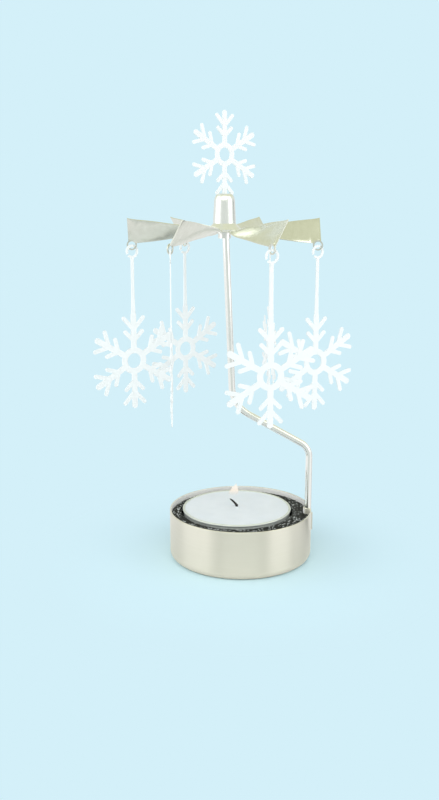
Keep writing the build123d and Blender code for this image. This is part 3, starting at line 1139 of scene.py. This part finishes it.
@dataclass
class Studio:
    """Pale floor, soft lamps and the camera at the photograph's viewing angle.

    Attributes:
        camera_place: Where the camera stands.
        pitch_degrees: How far it looks down.
        focal_px: Its focal length in pixels of the image.
        image_height_px: Height of the image.
        sensor_mm: Height of the sensor.
        clip_start: Distance from which it sees.
        pale_hex: Colour of floor and background as the camera sees them.
        paper_hex: Colour of the white paper all round that metal mirrors.
        side_hex: Colour of the paper on the floor that it mirrors.
        ceiling_hex: Colour of the warm ceiling that metal mirrors.
        ceiling_rise: Steepness from which the ceiling sets in, and at which it is full.
        sky_hex: Colour of the light from all round.
        sky: Strength of that light.
        front_hex: Colour of the dimmer room behind the camera that metal mirrors.
        front_half_width: Half the angle that this dimmer room takes up.
        flag_hex: Colour of the dark card beside the set that metal mirrors as a thin line.
        flag_degrees: How far round from the camera, to the right, that card stands.
        flag_half_width: Half the angle that it takes up.
        bearing_edges: Where a bearing's soft edge starts and ends, in half widths.
        bearing_height: How much a direction's steepness counts on a bearing.
        floor_reach: Half the floor's width.
        floor_roughness: Its roughness.
        floor_specular: Its shine.
        near: Distance from the origin within which the floor is lit and shadowed.
        far: Distance beyond which it has the background's plain colour.
        lamp_aim: What the lamps point at.
    """

    camera_place: Vector = Vector((-7.46, -302.0, 122.8)) * MM
    pitch_degrees: float = 12.44
    focal_px: float = 895.0
    image_height_px: float = 800.0
    sensor_mm: float = 36.0
    clip_start: float = 0.01
    pale_hex: str = "D4F0F9"
    paper_hex: str = "F2F6F5"
    side_hex: str = "FFFFFF"
    ceiling_hex: str = "EAECD0"
    ceiling_rise: tuple[float, float] = (0.05, 0.7)
    sky_hex: str = "F7FAFB"
    sky: float = 0.72
    front_hex: str = "DEE4E2"
    front_half_width: float = 32.0
    flag_hex: str = "3A3B36"
    flag_degrees: float = 112.0
    flag_half_width: float = 5.0
    bearing_edges: tuple[float, float] = (0.6, 1.4)
    bearing_height: float = 0.4
    floor_reach: float = 3.0
    floor_roughness: float = 0.9
    floor_specular: float = 0.1
    near: float = 0.03
    far: float = 0.075
    lamp_aim: Vector = Vector((-0.005, 0.0, 0.07))

    def add_camera(self) -> None:
        """Place the camera."""
        data = bpy.data.cameras.new("camera")
        data.sensor_fit = "VERTICAL"
        data.sensor_height = self.sensor_mm
        data.lens = self.sensor_mm * self.focal_px / self.image_height_px
        data.clip_start = self.clip_start
        camera = bpy.data.objects.new("camera", data)
        camera.location = self.camera_place
        camera.rotation_euler = (math.radians(90 - self.pitch_degrees), 0.0, 0.0)
        bpy.context.scene.collection.objects.link(camera)
        bpy.context.scene.camera = camera

    def background(self, tree: NodeTree, mirrored: Node) -> tuple[Node, Node]:
        """Tell rays that show the background from rays that light the object.

        Args:
            tree: The node tree that asks.
            mirrored: The node of the colour that mirror rays see.

        Returns:
            A node that is one for camera, mirror and glass rays, and the node of the colour that they see.
        """
        path = add_node(tree, "LightPath")
        straight = {0: path.outputs["Is Camera Ray"], 1: path.outputs["Is Transmission Ray"]}
        direct = add_node(tree, "Math", straight, operation="MAXIMUM")
        seen = add_node(tree, "Math", {0: direct, 1: path.outputs["Is Glossy Ray"]}, operation="MAXIMUM")
        pale = linear(self.pale_hex)
        colour = add_node(tree, "MixRGB", {"Fac": direct, "Color1": mirrored, "Color2": pale})
        return seen, colour

    def bearing_share(self, tree: NodeTree, direction: Node, degrees: float, half_width: float) -> Node:
        """Tell how far a direction lies on a bearing to the right of the camera.

        Args:
            tree: The node tree that asks.
            direction: The node that gives the direction's parts.
            degrees: The bearing, counted from the camera.
            half_width: Half the angle that the bearing takes up.

        Returns:
            A node that is one on the bearing and zero beside it.
        """
        angle = math.radians(degrees)
        bearing = (math.sin(angle), -math.cos(angle), 0.0)
        inner, outer = (math.cos(math.radians(half_width * edge)) for edge in self.bearing_edges)
        x, y, z = direction.outputs
        height = add_node(tree, "Math", {0: z, 1: self.bearing_height}, operation="MULTIPLY")
        lowered = add_node(tree, "CombineXYZ", {"X": x, "Y": y, "Z": height})
        unit = add_node(tree, "VectorMath", {0: lowered}, operation="NORMALIZE")
        closeness = add_node(tree, "VectorMath", {0: unit, 1: bearing}, operation="DOT_PRODUCT")
        return add_node(
            tree,
            "MapRange",
            {"Value": closeness.outputs["Value"], "From Min": outer, "From Max": inner},
            interpolation_type="SMOOTHSTEP",
        )

    def surroundings(
        self, tree: NodeTree, direction: Node, side_hex: str, overhead: Node | None = None
    ) -> Node:
        """Colour what metal mirrors: paper, dimmer behind the camera, a ceiling and the dark card.

        Args:
            tree: The node tree that asks.
            direction: The node that gives the direction's parts.
            side_hex: Colour of the paper.
            overhead: How far the direction points at the ceiling, where there is one.

        Returns:
            The colour's node.
        """
        side, front, ceiling, card = (
            linear(tone) for tone in (side_hex, self.front_hex, self.ceiling_hex, self.flag_hex)
        )
        ahead = self.bearing_share(tree, direction, 0.0, self.front_half_width)
        paper = add_node(tree, "MixRGB", {"Fac": ahead, "Color1": side, "Color2": front})
        if overhead is not None:
            paper = add_node(tree, "MixRGB", {"Fac": overhead, "Color1": paper, "Color2": ceiling})
        flag = self.bearing_share(tree, direction, self.flag_degrees, self.flag_half_width)
        return add_node(tree, "MixRGB", {"Fac": flag, "Color1": paper, "Color2": card})

    def add_world(self) -> None:
        """Light the object from all round, and show the pale background."""
        world = bpy.data.worlds.new("pale_studio")
        bpy.context.scene.world = world
        world.use_nodes = True
        tree = world.node_tree
        tree.nodes.clear()
        place = add_node(tree, "TexCoord")
        direction = add_node(tree, "SeparateXYZ", {"Vector": place.outputs["Generated"]})
        lowest, highest = self.ceiling_rise
        rise = add_node(
            tree,
            "MapRange",
            {"Value": direction.outputs["Z"], "From Min": lowest, "From Max": highest},
            interpolation_type="SMOOTHSTEP",
        )
        seen, colour = self.background(tree, self.surroundings(tree, direction, self.paper_hex, rise))
        lit = add_node(tree, "Background", {"Color": linear(self.sky_hex), "Strength": self.sky})
        shown = add_node(tree, "Background", {"Color": colour, "Strength": 1.0})
        mixed = add_node(tree, "MixShader", {0: seen, 1: lit, 2: shown})
        add_node(tree, "OutputWorld", {"Surface": mixed})

    def floor_material(self) -> Material:
        """Make a matt pale floor that runs out into the background.

        Returns:
            The floor's material.
        """
        constants = {"Roughness": self.floor_roughness, "Specular IOR Level": self.floor_specular}
        material, tree, surface, place = new_surface("pale_paper_sweep", constants)
        distance = add_node(tree, "VectorMath", {0: place}, operation="LENGTH")
        fade = add_node(
            tree,
            "MapRange",
            {"Value": distance.outputs["Value"], "From Min": self.near, "From Max": self.far},
            interpolation_type="SMOOTHSTEP",
        )
        direction = add_node(tree, "SeparateXYZ", {"Vector": place})
        around = self.surroundings(tree, direction, self.side_hex)
        paper = linear(self.paper_hex)
        mirrored = add_node(tree, "MixRGB", {"Fac": fade, "Color1": paper, "Color2": around})
        seen, colour = self.background(tree, mirrored)
        fill(surface, {"Base Color": colour})
        plain = add_node(tree, "Emission", {"Color": colour, "Strength": 1.0})
        share = add_node(tree, "Math", {0: fade, 1: seen}, operation="MULTIPLY")
        run_out = add_node(tree, "MixShader", {0: share, 1: surface, 2: plain})
        fill(tree.nodes["Material Output"], {"Surface": run_out})
        return material

    def add_floor(self) -> None:
        """Lay the floor under the cup."""
        deselect_all()
        bpy.ops.mesh.primitive_plane_add(size=2 * self.floor_reach, location=(0.0, 0.0, 0.0))
        floor = bpy.context.active_object
        floor.name = "floor"
        floor.data.materials.append(self.floor_material())

    def add_lamps(self) -> None:
        """Set the soft boxes round the object."""
        boxes = (
            SoftBox("left_box", Vector((-0.55, -0.14, 0.32)), width=0.66, height=0.6, watts_per_m2=2.9),
            SoftBox("right_box", Vector((0.54, -0.26, 0.32)), width=0.44, height=0.6, watts_per_m2=3.1),
            SoftBox("front_box", Vector((0.0, -0.62, 0.6)), width=0.8, height=0.4, watts_per_m2=6.0),
        )
        for box in boxes:
            box.light(self.lamp_aim)

    def build(self) -> None:
        """Set up the whole studio."""
        bpy.context.scene.view_settings.view_transform = "Standard"
        self.add_world()
        self.add_floor()
        self.add_lamps()
        self.add_camera()
        log.info("studio is set")


def main() -> None:
    """Dress each sub-assembly in turn, then set up the studio."""
    logging.basicConfig(level=logging.INFO, format="%(name)s: %(message)s")
    for assembly in (CupAssembly(), TealightAssembly(), StandAssembly(), RotorAssembly(), Snowflakes()):
        assembly.dress()
    Studio().build()


if __name__ == "__main__":
    main()
